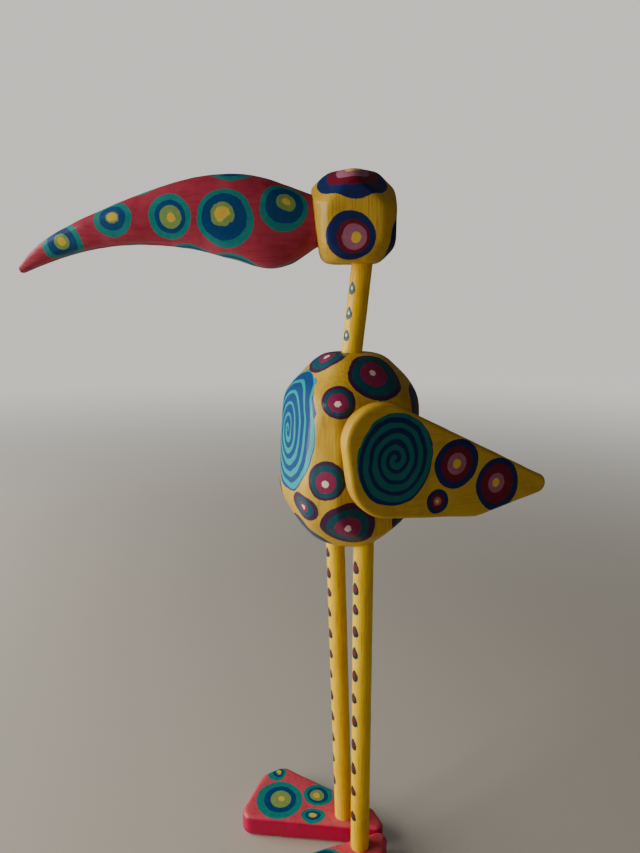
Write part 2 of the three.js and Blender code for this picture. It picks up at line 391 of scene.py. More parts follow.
def spotRings(mesh, spots, seed):
    # Each spot's rings by distance from its middle, as one number at each
    # vertex: 1 at the outer edge, and 0.75, 0.5 and 0.25 where the colour changes
    draw = np.random.default_rng(seed)
    places = placesOf(mesh)
    normals = placesOf(mesh, "normal")
    unpainted, twisting = handDrawn["unpainted"], handDrawn["twist"]
    nearest = np.full(len(places), unpainted)
    for spot in spots:
        middle = np.array(spot["at"], float)
        facing = np.array(spot["facing"], float)
        facing /= np.linalg.norm(facing)
        across = np.cross((0, 0, 1), facing)
        if np.linalg.norm(across) < 0.1:  # it faces up or down
            across = np.cross((0, 1, 0), facing)
        across /= np.linalg.norm(across)
        upward = np.cross(facing, across)
        lean = math.radians(spot.get("lean", 0))
        across, upward = (across * math.cos(lean) + upward * math.sin(lean),
                          upward * math.cos(lean) - across * math.sin(lean))
        wide, tall = np.broadcast_to(spot["radius"], 2)
        away = places - middle
        right = away @ across / wide
        rise = away @ upward / tall
        deep = away @ facing / ((wide + tall) / 2)
        ring = np.sqrt(right ** 2 + rise ** 2 + deep ** 2)
        # A shift slides the inner rings to one side, and the dot the most
        slide = np.clip(1 - ring, 0, 1)
        shiftRight, shiftUp = spot.get("shift", (0, 0))
        right = right - shiftRight * slide
        rise = rise - shiftUp * slide
        ring = np.sqrt(right ** 2 + rise ** 2 + deep ** 2)
        angle = np.arctan2(rise, right)
        for wave in handDrawn["waves"]:
            swing = handDrawn["depth"] / wave * draw.uniform(*handDrawn["varies"])
            turn = draw.uniform(0, 2 * math.pi)
            twist = draw.uniform(-twisting, twisting)
            ring = ring * (1 + swing * np.cos(wave * angle + turn + twist * ring))
        ring = np.interp(ring, (0, *spot["edges"], 1, unpainted), (0, 0.25, 0.5, 0.75, 1, unpainted))
        ring[normals @ facing < handDrawn["wraps"]] = unpainted
        nearest = np.minimum(nearest, ring)
    layer = mesh.attributes.new("ring", "FLOAT", "POINT")
    layer.data.foreach_set("value", nearest)


# Whittled blocks: body and head

fourCorners = (45, 135, 225, 315)


def directionOf(turn, tilt):
    turn, tilt = math.radians(turn), math.radians(tilt)
    return np.array((math.sin(turn) * math.cos(tilt), -math.cos(turn) * math.cos(tilt),
                     math.sin(tilt)))


def whittledReach(block, directions):
    reach = np.zeros(len(directions))
    for turns, tilt, share in block["cuts"]:
        for turn in turns:
            facing = np.clip(directions @ directionOf(turn, tilt), 0, None)
            reach += (facing / (share * block["tall"])) ** block["softness"]
    reach = reach ** (-1 / block["softness"])
    flat = block["flank"] / np.maximum(np.abs(directions[:, 0]), 1e-6)
    return np.minimum(reach, flat)


def whittledMesh(name, block):
    work = bmesh.new()
    bmesh.ops.create_icosphere(work, subdivisions=block["fineness"], radius=1)
    mesh = bpy.data.meshes.new(name)
    work.to_mesh(mesh)
    work.free()
    directions = placesOf(mesh)
    directions /= np.linalg.norm(directions, axis=1)[:, None]
    reach = whittledReach(block, directions)
    mesh.vertices.foreach_set("co", (directions * reach[:, None]).ravel())
    mesh.update()
    return mesh


def surfaceAt(block, turn, tilt):
    direction = directionOf(turn, tilt)
    return direction * whittledReach(block, direction[None, :])[0]


def blockSpots(block):
    # Each spot faces as the surface does, felt a few degrees to either side
    turnStep, tiltStep = 4, 3
    spots = []
    for spot in block["spots"]:
        turn, tilt = spot["toward"]
        across = surfaceAt(block, turn + turnStep, tilt) - surfaceAt(block, turn - turnStep, tilt)
        upward = surfaceAt(block, turn, tilt + tiltStep) - surfaceAt(block, turn, tilt - tiltStep)
        facing = np.cross(across, upward)
        if facing @ directionOf(turn, tilt) < 0:
            facing = directionOf(turn, tilt)
        spots.append({**spot, "at": surfaceAt(block, turn, tilt), "facing": facing})
    return spots


def carvedBlock(name, block, place):
    mesh = whittledMesh(name, block)
    unevenSurface(mesh, block["swells"])
    spotRings(mesh, blockSpots(block), block["seed"])
    placeMesh(mesh, place)
    return mesh


# Turns go round from the front to the bird's left, and tilts go upwards. A cut is
# its turns, its tilt and how far it lies from the middle, as a share of "tall";
# "flank" is half the width between the flat sides. A spot's "edges" are the shares
# of its radius where its colours change
body = {
    "middle": (0, -2.4, 281.5),
    "tall": 117.2,
    "flank": 38.5,
    "softness": 22,
    "fineness": 6,
    "cuts": (
        ((0,), 5, 0.293), ((180,), 0, 0.306), ((90, 270), 0, 0.35), (fourCorners, 0, 0.362),
        ((0,), 90, 0.488), ((0,), -90, 0.475),
        ((0,), 40, 0.395), ((180,), 42, 0.469), ((90, 270), 42, 0.448), (fourCorners, 42, 0.457),
        ((0,), -22, 0.372), ((0,), -45, 0.454), ((180,), -45, 0.36), ((90, 270), -45, 0.494),
        (fourCorners, -45, 0.457),
    ),
    "swells": ((16, 0.35, 3), (5, 0.12, 9)),
    "seed": 21,
    "spots": (
        {"toward": (-2.5, 77), "radius": (17.3, 12.2), "edges": (0.14, 0.42, 0.84)},
        {"toward": (100.2, 58.5), "radius": (17, 15.1), "edges": (0.13, 0.53, 0.87), "lean": 51,
         "shift": (0.04, 0.2)},
        {"toward": (60.3, 41.1), "radius": (9.9, 9.2), "edges": (0.2, 0.65, 0.78), "lean": -57,
         "shift": (0.18, -0.11)},
        {"toward": (52.4, -11), "radius": (10.3, 11.5), "edges": (0.2, 0.58, 0.86), "lean": -42,
         "shift": (0.1, -0.18)},
        {"toward": (28.4, -33.6), "radius": (13.5, 8), "edges": (0.17, 0.35, 0.7),
         "shift": (0.3, 0.18)},
        {"toward": (68.3, -41.2), "radius": (16.5, 15.2), "edges": (0.13, 0.48, 0.76), "lean": 29,
         "shift": (0.05, 0.05)},
        {"toward": (143, 32), "radius": 15, "edges": (0.12, 0.42, 0.68)},
        {"toward": (122, -40), "radius": 11, "edges": (0.15, 0.45, 0.8)},
        {"toward": (3, -66), "radius": 16.5, "edges": (0.1, 0.28, 0.8)},
        {"toward": (188, 46), "radius": 12, "edges": (0.14, 0.5, 0.84), "shift": (0.1, 0.1)},
        {"toward": (168, 0), "radius": 11.5, "edges": (0.18, 0.6, 0.84)},
        {"toward": (200, -32), "radius": 13, "edges": (0.13, 0.46, 0.8), "shift": (0, -0.2)},
        {"toward": (222, 14), "radius": 9, "edges": (0.18, 0.65, 0.78)},
        {"toward": (262, 57), "radius": 15, "edges": (0.14, 0.5, 0.86), "shift": (0.1, 0)},
        {"toward": (299, 41), "radius": 9.6, "edges": (0.2, 0.65, 0.78)},
        {"toward": (303, -11), "radius": 10.4, "edges": (0.18, 0.55, 0.84), "shift": (0.1, -0.2)},
        {"toward": (322, -34), "radius": (8, 10), "edges": (0.16, 0.35, 0.74), "lean": -30},
        {"toward": (288, -41), "radius": (15, 13), "edges": (0.13, 0.48, 0.78), "shift": (0, -0.3)},
        {"toward": (230, -58), "radius": 9, "edges": (0.15, 0.45, 0.75)},
    ),
}
bodyPlace = birdFrame @ Matrix.Translation(body["middle"])
bodyMesh = carvedBlock("bodyMesh", body, bodyPlace)
bodyMiddle = bodyPlace.translation
chestSpiral = {
    "centre": (axisX - 3 * mm, bodyMiddle.y, bodyMiddle.z + 12.5 * mm),
    "reach": (32 * mm, 1.0, 34.5 * mm),
    "eye": (-0.3, -0.01),
    "plane": ("X", "Z"),
    "turns": 5.4,
    "start": 0.17,
    "line": 0.2,
    "vary": 0.06,
    "thickAt": -1.8,
    "flicks": ((0.34, 0.1), (0.93, 0.03), (1.15, -0.05), (1.6, 0.05), (-2.1, 0.1)),
    "flickTurn": 0.55,
    "ground": "chestBlue",
    "stroke": "turquoise",
    "wobble": 0.07,
    "wobbleScale": 90,
    "side": ("Y", bodyMiddle.y - 5 * mm, -1),
}
yellowFinish = {
    "base": "yellow",
    "grain": (1100, 1100, 45),
    "grainTint": 0.6,
    "grainRelief": 1.4,
    "patchScale": 45,
    "roughness": 0.5,
    "specular": 0.16,
    "coat": 0.3,
    "coatRoughness": 0.12,
    "relief": 0.12 * mm,
    "peelScale": 850,
    "peelRelief": 0.5,
    "frayScale": 900,
    "fray": 0.035,
    "strokeScale": 350,
}
bodyPaint = paintedWood("paintedBody", {**yellowFinish, "rings": "body", "spiral": chestSpiral})
pieceFrom("carvedBody", bodyMesh, bodyPaint, "body")
print("body done")

head = {
    "middle": (-1.1, 0.39, 412.49),
    "turn": -20.5,
    "tall": 51.3,
    "flank": 60,
    "softness": 24,
    "fineness": 6,
    "cuts": (
        ((0,), -8, 0.412), ((180,), 0, 0.458), ((90, 270), 0, 0.429),
        ((45, 315), 0, 0.5), ((135, 225), 0, 0.524),
        ((0,), 90, 0.487), ((0,), -90, 0.477),
        ((0,), 45, 0.555), ((180,), 45, 0.542), ((90, 270), 45, 0.54), (fourCorners, 40, 0.476),
        ((0, 90, 270), -45, 0.553), ((180,), -45, 0.544), (fourCorners, -40, 0.58),
    ),
    "swells": ((12, 0.25, 5), (4, 0.08, 2)),
    "seed": 4,
    "spots": (
        {"toward": (84.8, -26.4), "radius": (13.6, 12.7), "edges": (0.24, 0.54, 0.68),
         "shift": (0.3, -0.08)},
        {"toward": (86, 64), "radius": (21.4, 19), "edges": (0.2, 0.44, 0.71)},
        {"toward": (167, -23.6), "radius": 13.2, "edges": (0.2, 0.5, 0.7)},
        {"toward": (275, -24), "radius": 13, "edges": (0.22, 0.52, 0.7), "shift": (-0.2, 0)},
        {"toward": (222, 28), "radius": 9, "edges": (0.2, 0.5, 0.7)},
    ),
}
headPlace = (birdFrame @ Matrix.Translation(head["middle"])
             @ Matrix.Rotation(math.radians(head["turn"]), 4, "Z"))
headMesh = carvedBlock("headMesh", head, headPlace)
headPaint = paintedWood("paintedHead", {**yellowFinish, "rings": "head"})
pieceFrom("carvedHead", headMesh, headPaint, "head")
print("head done")


# Beak

# A rib is its top point, its bottom point and its width, all in hundredths of
# the length: a point is how far along it lies and how high
beak = {
    "length": 187.4,
    "start": 0.09,
    "ribs": (
        ((7.4, 5.3), (5.8, -6.4), 12.7),
        ((12.7, 6.9), (10.9, -8.3), 14.3),
        ((19.6, 9.3), (18.5, -12.9), 17.5),
        ((27, 11.6), (26, -14.3), 19.6),
        ((37.1, 12.5), (36.5, -11.5), 19.3),
        ((48.7, 10.9), (48.7, -8.6), 17.5),
        ((62.5, 6.6), (62, -7.3), 14.8),
        ((76.3, 1.4), (75.2, -8.2), 11.7),
        ((87.9, -4), (86.3, -10.7), 8.7),
        ((95.3, -8.9), (93.8, -13.4), 6.6),
        ((100, -13.8), (99.3, -15.6), 4.2),
    ),
    "topRoundness": 2.7,
    "bottomRoundness": 3.6,
    "stations": 230,
    "around": 110,
    "tipRings": 7,
    "tipBulge": 0.2,
    "swells": ((14, 0.3, 6), (5, 0.1, 1)),
    "seed": 12,
    "spots": (
        {"at": (8.5, -160.2, -13.2), "facing": (1, 0, 0), "radius": (12.6, 11.2),
         "edges": (0.2, 0.36, 0.72), "lean": -35, "shift": (0, 0.06)},
        {"at": (12.1, -130.3, -0.9), "facing": (1, 0, 0), "radius": (11.2, 9.8),
         "edges": (0.27, 0.3, 0.68), "shift": (0, 0.06)},
        {"at": (15.6, -98.5, -0.4), "facing": (1, 0, 0), "radius": (12, 11.7),
         "edges": (0.22, 0.52, 0.72), "shift": (0.08, -0.04)},
        {"at": (17.9, -68.4, -1.7), "facing": (1, 0, 0), "radius": (15.4, 15.1),
         "edges": (0.31, 0.43, 0.81), "shift": (-0.18, 0.24)},
        {"at": (16.3, -37.5, 4.3), "facing": (1, 0, 0), "radius": (12.8, 13.2),
         "edges": (0.2, 0.42, 0.8), "shift": (0.18, 0.32)},
        {"at": (2, -66, 23.4), "facing": (0.1, 0, 1), "radius": 13.5, "edges": (0.2, 0.4, 0.74)},
        {"at": (1, -89, -17.4), "facing": (0, 0, -1), "radius": 12, "edges": (0.2, 0.45, 0.84)},
        {"at": (0.5, -64, -23), "facing": (0, 0, -1), "radius": 14.4, "edges": (0.35, 0.6, 0.86)},
        {"at": (-4, -40, -27), "facing": (0, 0, -1), "radius": 12, "edges": (0.2, 0.4, 0.76)},
        {"at": (0, -112, 13), "facing": (0, -0.3, 1), "radius": 10, "edges": (0.22, 0.4, 0.7)},
        {"at": (-5, -122, -14.5), "facing": (0, 0, -1), "radius": 8.4, "edges": (0.2, 0.4, 0.72)},
        {"at": (-9, -152, -9.5), "facing": (-1, 0, 0), "radius": (9, 8),
         "edges": (0.24, 0.4, 0.72), "lean": 35},
        {"at": (-11.5, -128, 0), "facing": (-1, 0, 0), "radius": 10.5, "edges": (0.26, 0.34, 0.7)},
        {"at": (-15, -98, 1), "facing": (-1, 0, 0), "radius": 12.6, "edges": (0.22, 0.5, 0.72)},
        {"at": (-17.5, -67, -1), "facing": (-1, 0, 0), "radius": 15.4, "edges": (0.26, 0.42, 0.74)},
        {"at": (-16.4, -36, 2), "facing": (-1, 0, 0), "radius": 13.4, "edges": (0.2, 0.44, 0.78)},
    ),
}


def smoothAlong(values, shares):
    # Catmull-Rom through evenly spaced values, at shares from 0 to 1
    values = np.array(values, float)
    ends = np.concatenate(([2 * values[0] - values[1]], values, [2 * values[-1] - values[-2]]))
    spans = len(values) - 1
    span = np.minimum((shares * spans).astype(int), spans - 1)
    t = shares * spans - span
    a, b, c, d = (ends[span + step] for step in range(4))
    return 0.5 * (2 * b + (c - a) * t + (2 * a - 5 * b + 4 * c - d) * t ** 2
                  + (3 * b - a - 3 * c + d) * t ** 3)


def superellipse(value, roundness):
    return np.sign(value) * np.abs(value) ** (2 / roundness)


def gridFaces(rows, columns):
    # Rings of columns points each, closed at both ends by one point
    faces = []
    for row in range(rows - 1):
        for column in range(columns):
            nextColumn = (column + 1) % columns
            faces.append((row * columns + column, row * columns + nextColumn,
                          (row + 1) * columns + nextColumn, (row + 1) * columns + column))
    first, last = rows * columns, rows * columns + 1
    for column in range(columns):
        nextColumn = (column + 1) % columns
        faces.append((first, nextColumn, column))
        faces.append((last, (rows - 1) * columns + column, (rows - 1) * columns + nextColumn))
    return faces


def beakMesh(name, beak):
    unit = beak["length"] / 100
    straight = np.linspace(beak["start"], 1, beak["stations"])
    closing = np.linspace(0, 1, beak["tipRings"] + 1)[1:-1]
    shares = np.concatenate((straight, np.ones(len(closing))))
    shrink = np.concatenate((np.ones(len(straight)), np.cos(closing * math.pi / 2)))
    bulge = np.concatenate((np.zeros(len(straight)), np.sin(closing * math.pi / 2)))
    bulge = bulge * beak["tipBulge"]
    topAlong, topHeight, bottomAlong, bottomHeight, width = (
        smoothAlong(values, shares) for values in zip(*(
            (*top, *bottom, wide) for top, bottom, wide in beak["ribs"])))
    angles = np.linspace(0, 2 * math.pi, beak["around"], endpoint=False)
    points = []
    for i in range(len(shares)):
        upper = np.sin(angles) > 0
        roundness = np.where(upper, beak["topRoundness"], beak["bottomRoundness"])
        side = superellipse(np.cos(angles), roundness) * width[i] / 2 * shrink[i]
        rise = superellipse(np.sin(angles), roundness) * shrink[i] / 2 + 0.5
        along = bottomAlong[i] + (topAlong[i] - bottomAlong[i]) * rise + bulge[i]
        height = bottomHeight[i] + (topHeight[i] - bottomHeight[i]) * rise - bulge[i]
        points.append(np.stack((side, -along, height), 1))
    rings = np.concatenate(points)
    rings = np.concatenate((rings, [points[0].mean(0)], [points[-1].mean(0)]))
    return meshOf(name, rings * unit, gridFaces(len(shares), beak["around"]))


beakPiece = beakMesh("beakMesh", beak)
unevenSurface(beakPiece, beak["swells"])
spotRings(beakPiece, beak["spots"], beak["seed"])
placeMesh(beakPiece, headPlace)
beakFinish = {
    **yellowFinish,
    "base": "raspberry",
    "grain": (60, 60, 600),
    "grainTurn": (0.2, 0, 0),
    "grainTint": 0.35,
    "rings": "beak",
    "roughness": 0.45,
    "coat": 0.15,
}
pieceFrom("curvedBeak", beakPiece, paintedWood("paintedBeak", beakFinish), "beak")
print("beak done")


# Boards: wings and feet

def stretchedRing(rounds, inset, spacing):
    # Points of a string stretched around rounds listed counter-clockwise
    count = len(rounds)
    leaving = []
    for i, (x, y, radius) in enumerate(rounds):
        nextX, nextY, nextRadius = rounds[(i + 1) % count]
        run = math.hypot(nextX - x, nextY - y)
        heading = math.atan2(nextY - y, nextX - x)
        leaving.append(heading - math.acos((radius - nextRadius) / run))
    points = []
    for i, (x, y, radius) in enumerate(rounds):
        nextX, nextY, nextRadius = rounds[(i + 1) % count]
        start = leaving[i - 1]
        sweep = (leaving[i] - start) % (2 * math.pi)
        steps = max(4, round(sweep * radius / spacing))
        for step in range(steps):
            angle = start + sweep * step / steps
            points.append((x + (radius - inset) * math.cos(angle),
                           y + (radius - inset) * math.sin(angle)))
        away = np.array((math.cos(leaving[i]), math.sin(leaving[i])))
        here = np.array((x, y)) + away * (radius - inset)
        there = np.array((nextX, nextY)) + away * (nextRadius - inset)
        steps = max(2, round(np.linalg.norm(there - here) / spacing))
        points.extend(here + (there - here) * step / steps for step in range(steps))
    return np.array(points)


def boardMesh(name, board):
    # Two flat faces and a rounded edge, on z from 0 to the thickness
    rounds, spacing = board["rounds"], board["spacing"]
    edge, thick = board["edge"], board["thickness"]
    middle = stretchedRing(rounds, 0, spacing).mean(0)
    rings = []
    bends = np.linspace(0, math.pi / 2, board["edgeSteps"])
    for height, direction in ((0, 1), (thick, -1)):
        face = stretchedRing(rounds, edge, spacing)
        flats = [(middle + (face - middle) * share, height)
                 for share in np.linspace(0, 1, board["faceRings"] + 1)[1:]]
        curve = [(stretchedRing(rounds, edge * (1 - math.sin(bend)), spacing),
                  height + direction * edge * (1 - math.cos(bend))) for bend in bends[1:]]
        rings.append(flats + curve)
    levels = rings[0] + rings[1][::-1]
    points = [np.column_stack((ring, np.full(len(ring), height))) for ring, height in levels]
    columns = len(points[0])
    points = np.concatenate(points)
    ends = [(*middle, 0), (*middle, thick)]
    return meshOf(name, np.concatenate((points, ends)), gridFaces(len(levels), columns))


# "shares" are the board's rounded corners in hundredths of its length: how far
# behind and above the body's middle each lies, and its radius
wing = {
    "thickness": 10.2,
    "inside": 38.8,
    "length": 127,
    "edge": 2.4,
    "edgeSteps": 7,
    "faceRings": 44,
    "spacing": 0.9,
    "shares": ((79.8, -14.9, 4.6), (0.3, 10.5, 16.7), (5.4, -3.3, 19.6), (46.9, -15.8, 11.1)),
    "swells": ((14, 0.3, 4), (5, 0.1, 8)),
    "seed": 30,
    "spots": (
        {"at": (45.1, -1.5), "radius": (13.9, 14), "edges": (0.19, 0.44, 0.72)},
        {"at": (72.6, -16), "radius": (14.2, 15.4), "edges": (0.17, 0.38, 0.77), "lean": 10,
         "shift": (-0.08, 0.1)},
        {"at": (33.8, -21.9), "radius": (6.7, 7.2), "edges": (0.16, 0.36, 0.64)},
    ),
    "spiralAt": (7.4, 4.1),
    "spiralReach": (22.2, 25.6),
}
wing["rounds"] = [tuple(share * wing["length"] / 100 for share in one) for one in wing["shares"]]
wingSpiral = {
    "plane": ("Y", "Z"),
    "eye": (0.0, 0.01),
    "turns": 4.25,
    "start": 0.37,
    "line": 0.22,
    "vary": 0.03,
    "thickAt": 1.5,
    "flicks": ((0.2, 0.045), (2.77, 0.04)),
    "flickTurn": 0.5,
    "ground": "wingTeal",
    "stroke": "wingNavy",
    "wobble": 0.08,
    "wobbleScale": 110,
}
wingFinish = {
    **yellowFinish,
    "grain": (600, 40, 600),
    "grainTint": 0.25,
    "grainRelief": 0.6,
    "rings": "head",
}


def makeWing(name, side, node):
    mesh = boardMesh(name + "Mesh", wing)
    unevenSurface(mesh, wing["swells"])
    outer = wing["thickness"] if side > 0 else 0
    spots = [{**spot, "at": (*spot["at"], outer), "facing": (0, 0, side)}
             for spot in wing["spots"]]
    if side < 0:
        spots = [{**spot, "lean": -spot.get("lean", 0)} for spot in spots]
    spotRings(mesh, spots, wing["seed"] + side)
    start = wing["inside"] if side > 0 else -wing["inside"] - wing["thickness"]
    turned = Matrix(((0, 0, 1, start), (1, 0, 0, 0), (0, 1, 0, 0), (0, 0, 0, 1)))
    placeMesh(mesh, bodyPlace @ turned)
    behind, above = wing["spiralAt"]
    long, tall = wing["spiralReach"]
    spiral = {
        **wingSpiral,
        "centre": (0.0, bodyMiddle.y + behind * mm, bodyMiddle.z + above * mm),
        "reach": (1.0, long * mm, tall * mm),
        "side": ("X", axisX + side * (wing["inside"] + wing["thickness"] / 2) * mm, side),
    }
    finish = {**wingFinish, "spiral": spiral}
    pieceFrom(name, mesh, paintedWood(name + "Paint", finish), node)


makeWing("leftWing", 1, "wing_left")
makeWing("rightWing", -1, "wing_right")
print("wings done")

# A foot's spots are placed from its inner side and its heel
foot = {
    "thickness": 15,
    "length": 98.9,
    "front": 51.4,
    "heel": 20.1,
    "heelRound": 5.5,
    "toeRound": 8,
    "outerToeRound": 9,
    "outerToeDrop": 14,
    "edge": 3.4,
    "edgeSteps": 8,
    "faceRings": 36,
    "spacing": 0.9,
    "swells": ((15, 0.3, 2), (5, 0.1, 5)),
    "seed": 40,
    "left": {"across": 15.2, "back": 2.9, "turn": 0, "fromInner": 7.2, "fromHeel": 20.1},
    "right": {"across": -12.5, "back": 2.9, "turn": -26.8, "fromInner": 10.2, "fromHeel": 27.5},
    "leftSpots": (
        {"at": (12.6, 46), "radius": 12.2, "edges": (0.24, 0.48, 0.83), "shift": (0.1, 0.1)},
        {"at": (21, 75.5), "radius": (16.4, 16), "edges": (0.15, 0.46, 0.7), "shift": (0, 0.1)},
        {"at": (43, 78.5), "radius": (7.6, 8), "edges": (0.28, 0.36, 0.64), "shift": (0.1, 0)},
        {"at": (30.4, 49.5), "radius": 9.2, "edges": (0.25, 0.48, 0.7), "shift": (-0.1, 0.1)},
    ),
    "rightSpots": (
        {"at": (18.2, 74.4), "radius": (17.2, 16.6), "edges": (0.14, 0.46, 0.7),
         "shift": (0.07, 0.1)},
        {"at": (43.4, 80.5), "radius": (7.6, 6.8), "edges": (0.3, 0.36, 0.62),
         "shift": (0.3, 0.28)},
        {"at": (25.8, 47), "radius": 10.6, "edges": (0.25, 0.5, 0.72), "shift": (-0.1, -0.16)},
        {"at": (6.8, 48.6), "radius": (6.2, 8.6), "edges": (0.28, 0.34, 0.62),
         "shift": (0.05, -0.05)},
    ),
}
footFinish = {
    **yellowFinish,
    "base": "pink",
    "side": "pinkSideShaded",
    "grain": (300, 300, 60),
    "grainTint": 0.3,
    "rings": "beak",
    "roughness": 0.4,
}
footPaint = paintedWood("paintedFoot", footFinish)


def makeFoot(name, sideName, node):
    place = foot[sideName]
    outward = math.copysign(1, place["across"])
    heel, toe, outer = foot["heelRound"], foot["toeRound"], foot["outerToeRound"]
    front, length, drop = foot["front"], foot["length"], foot["outerToeDrop"]
    rounds = [
        (heel, heel, heel),
        (foot["heel"] - heel, 2 * heel, heel),
        (front - outer, length - drop - outer, outer),
        (front - drop, length - drop / 2 - toe, toe),
        (toe, length - toe, toe),
    ]
    placed = [(outward * (x - place["fromInner"]), place["fromHeel"] - y, radius)
              for x, y, radius in rounds]
    if outward > 0:
        placed.reverse()
    mesh = boardMesh(name + "Mesh", {**foot, "rounds": placed})
    unevenSurface(mesh, foot["swells"])
    spots = []
    for spot in foot[sideName + "Spots"]:
        x, y = spot["at"]
        shiftRight, shiftUp = spot["shift"]
        spots.append({**spot, "facing": (0, 0, 1), "shift": (outward * shiftRight, shiftUp),
                      "at": (outward * (x - place["fromInner"]), place["fromHeel"] - y,
                             foot["thickness"])})
    spotRings(mesh, spots, foot["seed"] + round(outward))
    # The sole keeps to the ground where a swell would go below it
    flatten = placesOf(mesh)
    flatten[:, 2] = np.maximum(flatten[:, 2], 0)
    mesh.vertices.foreach_set("co", flatten.ravel())
    placeMesh(mesh, birdFrame @ Matrix.Translation((place["across"], place["back"], 0))
              @ Matrix.Rotation(math.radians(place["turn"]), 4, "Z"))
    pieceFrom(name, mesh, footPaint, node)


makeFoot("leftFoot", "left", "foot_left")
makeFoot("rightFoot", "right", "foot_right")
print("feet done")


# Dowels: neck and legs, with their row of painted drops

dowelStock = {
    "radius": 6.0,
    "uneven": 0.35,
    "unevenScale": 70.0,
    "rings": 340,
    "around": 72,
}

# A drop's shape and paint: its width at the middle and what it loses upwards, as
# shares, then how far each may stray in place, to the side and in length
drops = {
    "widest": 0.78,
    "taper": 0.3,
    "narrowest": 0.2,
    "strayLeast": (-0.025, -0.12, 0.88),
    "strayMost": (0.025, 0.12, 1.1),
    "frayScale": 700.0,
    "fray": 0.35,
    "heartBlur": 0.06,
    "rimBlur": 0.03,
}


def dowelTree():
    tree = bpy.data.node_groups.new("turnedDowel", "GeometryNodeTree")
    wanted = (
        ("Start", "NodeSocketVector"), ("End", "NodeSocketVector"),
        ("Front", "NodeSocketVector"), ("Radius", "NodeSocketFloat"),
        ("Uneven", "NodeSocketFloat"), ("First drop", "NodeSocketFloat"),
        ("Drop pitch", "NodeSocketFloat"), ("Drop crowding", "NodeSocketFloat"),
        ("Drop drift", "NodeSocketFloat"), ("Drop count", "NodeSocketInt"),
        ("Drop length", "NodeSocketFloat"), ("Drop width", "NodeSocketFloat"),
        ("Seed", "NodeSocketInt"), ("Paint", "NodeSocketMaterial"),
    )
    for label, kind in wanted:
        tree.interface.new_socket(label, in_out="INPUT", socket_type=kind)
    tree.interface.new_socket("Geometry", in_out="OUTPUT", socket_type="NodeSocketGeometry")
    plus, less, times, over = sumsOf(tree)
    given = addNode(tree, "NodeGroupInput").outputs
    line = addNode(tree, "GeometryNodeCurvePrimitiveLine",
                   {"Start": given["Start"], "End": given["End"]})
    fine = addNode(tree, "GeometryNodeResampleCurve",
                   {"Curve": line.outputs[0], "Count": dowelStock["rings"]})
    ringCurve = addNode(tree, "GeometryNodeCurvePrimitiveCircle",
                        {"Resolution": dowelStock["around"], "Radius": given["Radius"]})
    rod = addNode(tree, "GeometryNodeCurveToMesh", {
        "Curve": fine.outputs[0], "Profile Curve": ringCurve.outputs[0], "Fill Caps": True})
    place = addNode(tree, "GeometryNodeInputPosition").outputs[0]
    normal = addNode(tree, "GeometryNodeInputNormal").outputs[0]
    swell = noiseAt(tree, place, dowelStock["unevenScale"]).outputs["Fac"]
    lift = times(less(swell, 0.5), given["Uneven"])
    offset = addNode(tree, "ShaderNodeVectorMath", {0: normal, "Scale": lift}, operation="SCALE")
    uneven = addNode(tree, "GeometryNodeSetPosition",
                     {"Geometry": rod.outputs[0], "Offset": offset.outputs[0]})
    way = vectorCalc(tree, "NORMALIZE", vectorCalc(tree, "SUBTRACT", given["End"], given["Start"]))
    beside = vectorCalc(tree, "NORMALIZE", vectorCalc(tree, "CROSS_PRODUCT", way, given["Front"]))
    ahead = vectorCalc(tree, "CROSS_PRODUCT", beside, way)
    away = vectorCalc(tree, "SUBTRACT", place, given["Start"])
    along = vectorCalc(tree, "DOT_PRODUCT", away, way)
    turned = calc(tree, "ARCTAN2", vectorCalc(tree, "DOT_PRODUCT", away, beside),
                  vectorCalc(tree, "DOT_PRODUCT", away, ahead))
    around = times(turned, given["Radius"])
    # Drop n stands at first + pitch n - crowding n n, so the drops crowd together
    # upwards, or spread where crowding is below zero. Here n is found from the place
    risen = less(along, given["First drop"])
    pitch, crowding = given["Drop pitch"], given["Drop crowding"]
    squared = less(times(pitch, pitch), times(times(crowding, 4.0), risen))
    root = calc(tree, "SQRT", calc(tree, "MAXIMUM", squared, 0.0))
    number = calc(tree, "ROUND", over(less(pitch, root), times(crowding, 2.0)))
    top = less(given["Drop count"], 1.0)
    held = calc(tree, "MAXIMUM", calc(tree, "MINIMUM", number, top), 0.0)
    middle = less(times(pitch, held), times(crowding, times(held, held)))
    jitter = addNode(tree, "FunctionNodeRandomValue", {
        0: drops["strayLeast"], 1: drops["strayMost"], "ID": held, "Seed": given["Seed"]},
        data_type="FLOAT_VECTOR").outputs[0]
    jitters = addNode(tree, "ShaderNodeSeparateXYZ", {0: jitter}).outputs
    low = less(less(risen, middle), times(jitters[0], pitch))
    upShare = over(low, times(given["Drop length"], jitters[2]))
    taper = less(drops["widest"], times(upShare, drops["taper"]))
    reach = times(calc(tree, "MAXIMUM", taper, drops["narrowest"]), given["Drop width"])
    slide = plus(times(jitters[1], given["Drop width"]), times(risen, given["Drop drift"]))
    sideShare = over(less(around, slide), reach)
    drop = calc(tree, "SQRT", plus(times(upShare, upShare), times(sideShare, sideShare)))
    stored = addNode(tree, "GeometryNodeStoreNamedAttribute", {
        "Geometry": uneven.outputs[0], "Name": "drop", "Value": drop},
        data_type="FLOAT", domain="POINT")
    whole = addNode(tree, "GeometryNodeRealizeInstances", {0: stored.outputs[0]})
    painted = addNode(tree, "GeometryNodeSetMaterial",
                      {"Geometry": whole.outputs[0], "Material": given["Paint"]})
    addNode(tree, "NodeGroupOutput", {0: painted.outputs[0]})
    return tree


